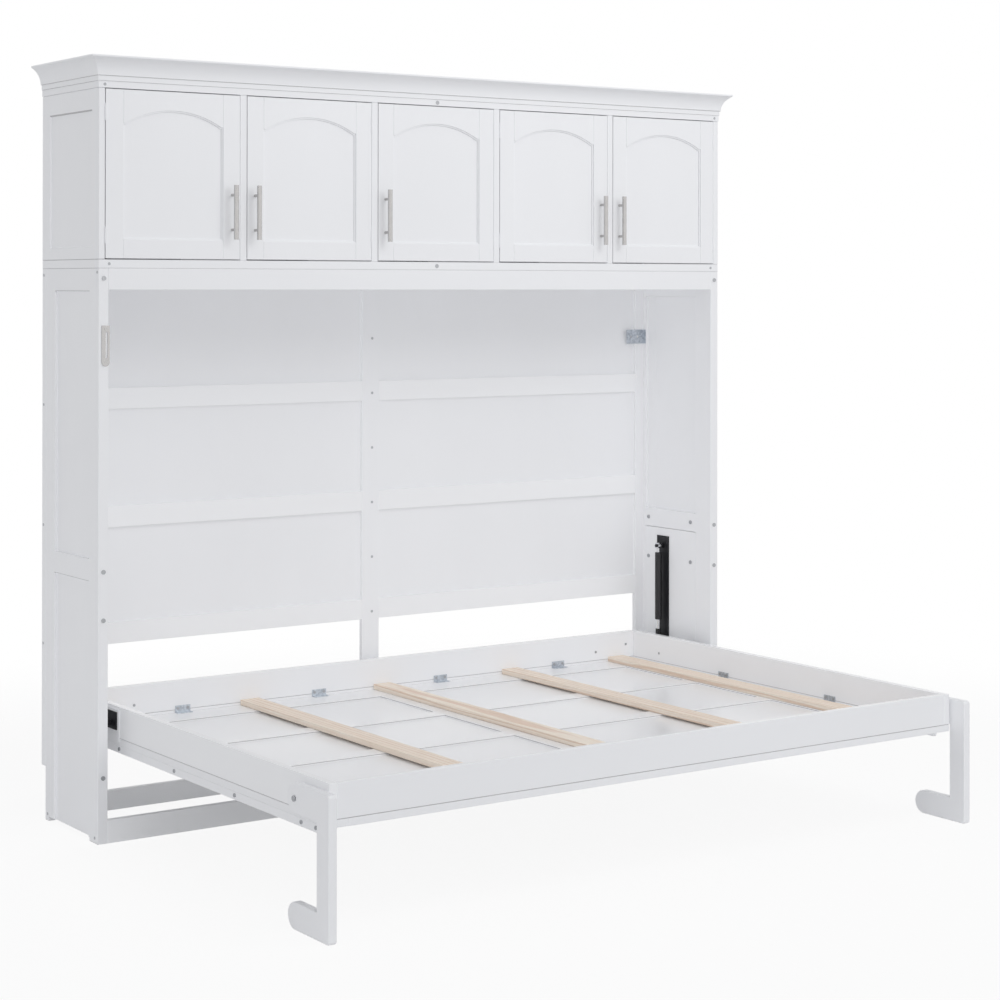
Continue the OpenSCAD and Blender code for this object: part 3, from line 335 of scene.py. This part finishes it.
# width of the rounded edges, in metres; a node that isn't listed keeps its CAD mesh
EASE = {
    "side_frame_left": 0.002, "side_frame_right": 0.002, "header_rail": 0.0012, "toe_rails": 0.0012,
    "back_posts": 0.0012, "back_rails": 0.0012, "mount_boards": 0.001,
    "hutch_side_left": 0.002, "hutch_side_right": 0.002, "hutch_bottom": 0.0008, "hutch_top": 0.0008,
    "hutch_dividers": 0.001, "crown": 0.001,
    "door_1": 0.0009, "door_2": 0.0009, "door_3": 0.0009, "door_4": 0.0009, "door_5": 0.0009,
    "bed_base": 0.003, "bed_rail_front": 0.002, "bed_rail_rear": 0.002, "bed_rail_left": 0.002,
    "bed_rail_right": 0.002, "slats": 0.0025, "runners": 0.0015, "leg_left": 0.003, "leg_right": 0.003,
    "desk_top": 0.002, "gate_left": 0.0015, "gate_right": 0.0015,
    "handle_1": 0.0008, "handle_2": 0.0008, "handle_3": 0.0008, "handle_4": 0.0008, "handle_5": 0.0008,
    "latch_plate": 0.0005, "wall_brackets": 0.0005, "bed_brackets": 0.0005, "leg_bolts": 0.0008,
    "pivot_pads": 0.0005, "bed_pivots": 0.0008, "lift_plates": 0.0006,
    "strut_cylinder_left": 0.0015, "strut_cylinder_right": 0.0015,
}

# limits of the bed's inside and of the recesses in its base, in metres
INSIDE_X = 0.9735
INSIDE_FRONT, INSIDE_BACK = -1.0725, 0.3125
INSIDE_LOW = 0.2535
RECESS_TOP = 0.2612
SIDE_PANEL_X = 1.061     # beyond this lie the frames on the outside of the side panels
CROWN_STEPS_TOP = 2.0465  # below this lie the crown's two small steps


def inside_bed(face):
    c = face.center
    return abs(c.x) < INSIDE_X and INSIDE_FRONT < c.y < INSIDE_BACK and c.z > INSIDE_LOW


def recess_wall(face):
    return inside_bed(face) and abs(face.normal.z) < 0.3 and face.center.z < RECESS_TOP


def inside_edge(face):
    return inside_bed(face) and 0.3 < face.normal.z < 0.97


def inside_level(face):
    return inside_bed(face) and face.normal.z >= 0.97


def underside(face):
    return face.normal.z < -0.3


def outer_underside(face):
    return underside(face) and abs(face.center.x) > SIDE_PANEL_X


def lower_edge(face):
    return -0.97 < face.normal.z < -0.3


def crown_step(face):
    return face.normal.z < -0.4 and face.center.z < CROWN_STEPS_TOP


def upper(face):
    return face.normal.z > 0.5


def not_upper(face):
    return face.normal.z < 0.5


# Painted light and shade on some faces. The fills cast no shadow, so the shade of undersides, recess walls
# and the slats' sides is painted on, and so are the highlights of edges and rail tops and the light of the
# bed's floor.
ACCENTS = {
    "slats": [(M["pine_darker_for_shade"], not_upper)],
    "bed_base": [
        (M["painted_shade"], recess_wall),
        (M["white_painted_highlight"], inside_edge),
        (M["white_base_painted_light"], inside_level),
    ],
    "hutch_bottom": [(M["painted_shade"], lower_edge)],
    "crown": [(M["painted_shade"], crown_step)],
}
for name in ("hutch_side_left", "hutch_side_right", "side_frame_left", "side_frame_right"):
    ACCENTS[name] = [(M["painted_shade"], outer_underside)]
for name in ("bed_rail_front", "bed_rail_rear", "bed_rail_left", "bed_rail_right"):
    ACCENTS[name] = [(M["white_painted_highlight"], upper), (M["painted_shade"], underside)]

for name, ob in nodes.items():
    slot = slot_of[name]
    mat = M[slot]
    if slot == "white_paint":
        if name in ALONG_X:
            mat = M["white_flat"]
        if name in BRIGHT:
            mat = M["white_painted_light"]
        if name.startswith("door_"):
            mat = M["white_door"]
    if name.startswith("strut_cylinder"):
        mat = M["strut_body"]
    if name in EASE:
        eased(name, body_of[name], EASE[name], mat, accents=ACCENTS.get(name, ()))
    else:
        ob.data.materials.clear()
        ob.data.materials.append(mat)


# ---------------------------------------------------------------- floor, light, camera
FLOOR_COLOR = (0.93, 0.93, 0.93, 1)
FLOOR_HALF = 8.0                  # half the floor's side, in metres
FLOOR_DROP = 0.0005               # the floor lies this far under the feet
FADE_START, FADE_END = 1.7, 3.4   # distances at which the floor starts and ends fading out
FADE_SHIFT = 0.35                 # the fade's middle lies this far in front of the cabinet's front face
PAPER = 0.90                      # the camera's share of plain white on the floor; the rest keeps the shadow


def floor_material():
    """Pale floor that keeps the shadow and fades out well away from the object."""
    m = bpy.data.materials.new("studio_floor")
    m.use_nodes = True
    nt = m.node_tree
    nt.nodes.clear()
    out = nt.nodes.new("ShaderNodeOutputMaterial")
    dif = nt.nodes.new("ShaderNodeBsdfDiffuse")
    dif.inputs["Color"].default_value = FLOOR_COLOR
    clear = nt.nodes.new("ShaderNodeBsdfTransparent")
    mix = nt.nodes.new("ShaderNodeMixShader")
    co = nt.nodes.new("ShaderNodeTexCoord")
    grain = nt.nodes.new("ShaderNodeTexNoise")
    grain.inputs["Scale"].default_value = 90.0
    nt.links.new(co.outputs["Object"], grain.inputs["Vector"])
    b = nt.nodes.new("ShaderNodeBump")
    b.inputs["Distance"].default_value = 0.0004
    b.inputs["Strength"].default_value = 0.2
    nt.links.new(grain.outputs["Fac"], b.inputs["Height"])
    nt.links.new(b.outputs["Normal"], dif.inputs["Normal"])
    length = nt.nodes.new("ShaderNodeVectorMath")
    length.operation = "LENGTH"
    mp = nt.nodes.new("ShaderNodeMapping")
    mp.inputs["Location"].default_value = (0, FADE_SHIFT, 0)
    nt.links.new(co.outputs["Object"], mp.inputs["Vector"])
    nt.links.new(mp.outputs["Vector"], length.inputs[0])
    fade = nt.nodes.new("ShaderNodeMapRange")
    fade.inputs["From Min"].default_value = FADE_START
    fade.inputs["From Max"].default_value = FADE_END
    fade.interpolation_type = "SMOOTHSTEP"
    nt.links.new(length.outputs["Value"], fade.inputs["Value"])
    nt.links.new(fade.outputs["Result"], mix.inputs["Fac"])
    # seen by the camera, the floor is nearly white paper with a pale shadow
    glow = nt.nodes.new("ShaderNodeEmission")
    glow.inputs["Color"].default_value = (1, 1, 1, 1)
    glow.inputs["Strength"].default_value = 1.0
    path = nt.nodes.new("ShaderNodeLightPath")
    paper = nt.nodes.new("ShaderNodeMixShader")
    seen = maths(nt, "MULTIPLY", path.outputs["Is Camera Ray"], PAPER)
    nt.links.new(seen, paper.inputs["Fac"])
    nt.links.new(dif.outputs["BSDF"], paper.inputs[1])
    nt.links.new(glow.outputs["Emission"], paper.inputs[2])
    nt.links.new(paper.outputs["Shader"], mix.inputs[1])
    nt.links.new(clear.outputs["BSDF"], mix.inputs[2])
    nt.links.new(mix.outputs["Shader"], out.inputs["Surface"])
    return m


me = bpy.data.meshes.new("studio_floor")
h = FLOOR_HALF
me.from_pydata([(-h, -h, 0), (h, -h, 0), (h, h, 0), (-h, h, 0)], [], [(0, 1, 2, 3)])
floor = bpy.data.objects.new("studio_floor", me)
bpy.context.scene.collection.objects.link(floor)
floor.location = (0, 0, -FLOOR_DROP)
me.materials.append(floor_material())

WORLD_COLOR = (0.970, 0.976, 1.0, 1)
WORLD_LIGHT = 0.483   # strength of the light from the world; what the camera sees of it is plain white

world = bpy.data.worlds.new("studio")
bpy.context.scene.world = world
world.use_nodes = True
nt = world.node_tree
nt.nodes.clear()
out = nt.nodes.new("ShaderNodeOutputWorld")
lit = nt.nodes.new("ShaderNodeBackground")
lit.inputs["Color"].default_value = WORLD_COLOR
lit.inputs["Strength"].default_value = WORLD_LIGHT
shown = nt.nodes.new("ShaderNodeBackground")
shown.inputs["Color"].default_value = (1, 1, 1, 1)
shown.inputs["Strength"].default_value = 1.0
path = nt.nodes.new("ShaderNodeLightPath")
direct = maths(nt, "MAXIMUM", path.outputs["Is Camera Ray"], path.outputs["Is Glossy Ray"])
either = maths(nt, "MAXIMUM", direct, path.outputs["Is Transmission Ray"])
mix = nt.nodes.new("ShaderNodeMixShader")
nt.links.new(either, mix.inputs["Fac"])
nt.links.new(lit.outputs[0], mix.inputs[1])
nt.links.new(shown.outputs[0], mix.inputs[2])
nt.links.new(mix.outputs[0], out.inputs["Surface"])


def sun_lamp(name, strength, to_light, angle, shadow):
    """A parallel lamp; to_light points from the object to the lamp, angle is its softness in degrees.
    A lamp without shadow is a fill, and gives no highlight either."""
    data = bpy.data.lights.new(name, "SUN")
    data.energy = strength
    data.angle = math.radians(angle)
    data.use_shadow = shadow
    lamp = bpy.data.objects.new(name, data)
    bpy.context.scene.collection.objects.link(lamp)
    lamp.rotation_euler = Vector(to_light).normalized().to_track_quat("Z", "Y").to_euler()
    lamp.visible_glossy = shadow
    return lamp


def link_lamp(lamp, names, state):
    """Lights only the named objects (INCLUDE), or all but them (EXCLUDE)."""
    group = bpy.data.collections.new(lamp.name + "_linked")
    for name in names:
        group.objects.link(bpy.data.objects[name])
    lamp.light_linking.receiver_collection = group
    for item in group.collection_objects:
        item.light_linking.link_state = state


def soft_box(name, watts, place, target, size):
    """A square area lamp at place, facing target."""
    data = bpy.data.lights.new(name, "AREA")
    data.energy = watts
    data.size = size
    lamp = bpy.data.objects.new(name, data)
    bpy.context.scene.collection.objects.link(lamp)
    lamp.location = place
    lamp.rotation_euler = (Vector(place) - Vector(target)).to_track_quat("Z", "Y").to_euler()


FROM_FRONT = (0.1, -1.0, 0.12)
FROM_LEFT = (-1.0, -0.15, 0.12)
FROM_ABOVE = (0.12, -0.52, 0.80)
KEY_SOFTNESS, FILL_SOFTNESS = 60, 20   # degrees

sun_lamp("soft_key", 0.307, FROM_ABOVE, KEY_SOFTNESS, True)
front_fill = sun_lamp("front_fill", 0.442, FROM_FRONT, FILL_SOFTNESS, False)
left_fill = sun_lamp("left_fill", 0.560, FROM_LEFT, FILL_SOFTNESS, False)
# the fills cast no shadow, so they leave out what the closed doors hide and the gaps round the doors
DOOR_COUNT = 5
doors = ["door_%d_eased" % (i + 1) for i in range(DOOR_COUNT)]
link_lamp(front_fill, ["hutch_back"], "EXCLUDE")
link_lamp(left_fill, ["hutch_back"] + doors, "EXCLUDE")
door_fill = sun_lamp("door_fill", 0.083, FROM_FRONT, FILL_SOFTNESS, False)
link_lamp(door_fill, doors, "INCLUDE")
soft_box("high_front", 18.8, (0.9, -2.4, 3.2), (0.0, 0.0, 1.9), 1.6)

# The photograph's camera: place in metres, turn in degrees, focal length in pixels of a 1000 px picture,
# and the lens shift as a share of the picture
CAMERA_PLACE = (-3.5614, -5.5053, 1.4865)
CAMERA_TURN = (90.261, -0.0626, -34.6102)
FOCAL_PX, PICTURE_PX = 2237.2, 1000.0
SENSOR_MM = 36.0
SHIFT_X, SHIFT_Y = -0.0037, -0.2246

cam_data = bpy.data.cameras.new("photo_camera")
cam = bpy.data.objects.new("photo_camera", cam_data)
bpy.context.scene.collection.objects.link(cam)
cam_data.sensor_width = SENSOR_MM
cam_data.lens = FOCAL_PX * SENSOR_MM / PICTURE_PX
cam_data.shift_x = SHIFT_X
cam_data.shift_y = SHIFT_Y
cam_data.clip_end = 50.0
cam.location = CAMERA_PLACE
cam.rotation_euler = [math.radians(a) for a in CAMERA_TURN]
bpy.context.scene.camera = cam
bpy.context.scene.view_settings.view_transform = "Standard"
